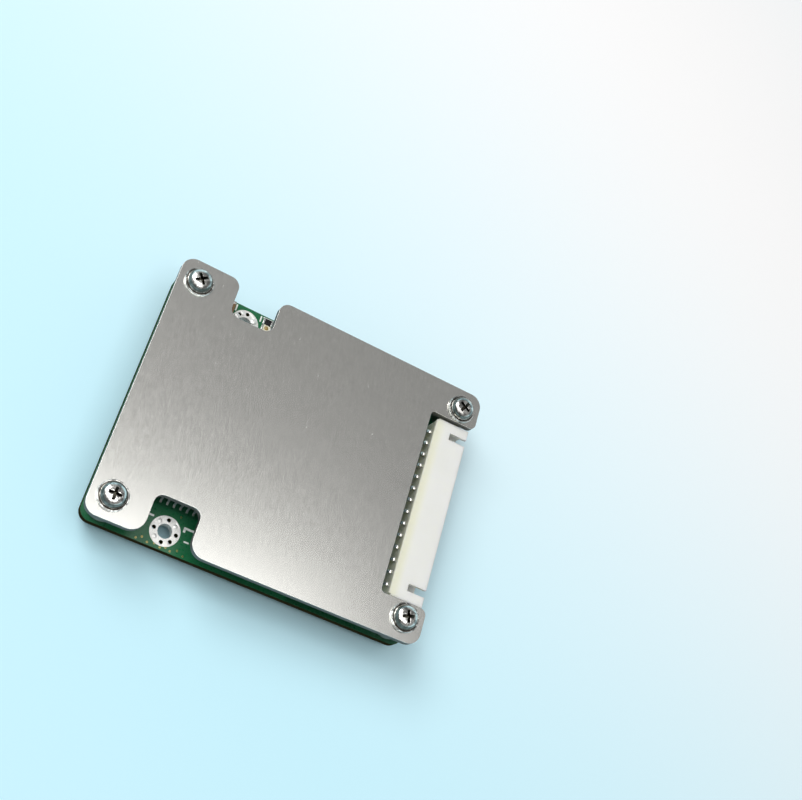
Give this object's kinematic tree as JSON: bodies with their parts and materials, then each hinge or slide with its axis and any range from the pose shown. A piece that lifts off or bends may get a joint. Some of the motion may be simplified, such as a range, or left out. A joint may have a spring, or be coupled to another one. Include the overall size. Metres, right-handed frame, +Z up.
{
  "type": "battery management board",
  "caption": "Circuit board for a battery pack under a notched aluminium heatsink plate, with a side-entry cell connector and two wire pads.",
  "frame": {"origin": "middle of the heatsink plate in X and Y, on the plane of the screw tips in Z", "axes": "+Z up through the heatsink plate, +X towards the connector, +Y towards the battery pad"},
  "size_m": [0.065, 0.0524, 0.014],
  "materials": {
    "brushed_aluminium": "fine brushed, along the short side",
    "green_board": "glossy solder mask over glass epoxy",
    "ivory_nylon": "smooth moulded nylon",
    "screw_nickel": "bright nickel plating",
    "nut_zinc": "zinc plating",
    "spacer_nickel": "dull nickel plating",
    "solder_tin": "tinned solder",
    "pin_tin": "tin plating",
    "thermal_silicone": "soft matte silicone",
    "black_epoxy": "moulded epoxy with tinned leads",
    "dark_ceramic": "glazed black film between tinned caps",
    "brown_ceramic": "matte ceramic between tinned caps",
    "led_body": "cream body with a clear lens"
  },
  "bodies": {
    "root": {"heatsink_plate": "brushed_aluminium", "circuit_board": "green_board", "connector_housing": "ivory_nylon", "plate_screws": "screw_nickel", "hex_nuts": "nut_zinc", "output_pad": "solder_tin", "battery_pad": "solder_tin", "near_thermal_pad": "thermal_silicone", "far_thermal_pad": "thermal_silicone", "monitor_chip": "black_epoxy", "controller_chip": "black_epoxy", "surge_diode": "black_epoxy", "balance_transistors": "black_epoxy", "filter_capacitors": "brown_ceramic", "status_led": "led_body", "led_resistor": "dark_ceramic", "snubber_capacitor": "brown_ceramic", "thermistor": "dark_ceramic", "connector_pin_1": "pin_tin", "connector_pin_2": "pin_tin", "connector_pin_3": "pin_tin", "connector_pin_4": "pin_tin", "connector_pin_5": "pin_tin", "connector_pin_6": "pin_tin", "connector_pin_7": "pin_tin", "connector_pin_8": "pin_tin", "connector_pin_9": "pin_tin", "connector_pin_10": "pin_tin", "connector_pin_11": "pin_tin", "connector_pin_12": "pin_tin", "connector_pin_13": "pin_tin", "connector_pin_14": "pin_tin", "spacer_1": "spacer_nickel", "spacer_2": "spacer_nickel", "spacer_3": "spacer_nickel", "spacer_4": "spacer_nickel", "mosfet_1": "black_epoxy", "mosfet_2": "black_epoxy", "mosfet_3": "black_epoxy", "mosfet_4": "black_epoxy", "mosfet_5": "black_epoxy", "mosfet_6": "black_epoxy", "mosfet_7": "black_epoxy", "mosfet_8": "black_epoxy", "shunt_resistor_1": "dark_ceramic", "shunt_resistor_2": "dark_ceramic", "balance_resistor_1": "dark_ceramic", "balance_resistor_2": "dark_ceramic", "balance_resistor_3": "dark_ceramic", "balance_resistor_4": "dark_ceramic", "balance_resistor_5": "dark_ceramic", "balance_resistor_6": "dark_ceramic", "balance_resistor_7": "dark_ceramic", "balance_resistor_8": "dark_ceramic", "balance_resistor_9": "dark_ceramic", "balance_resistor_10": "dark_ceramic", "balance_resistor_11": "dark_ceramic", "balance_resistor_12": "dark_ceramic", "balance_resistor_13": "dark_ceramic"}
  },
  "joints": []
}
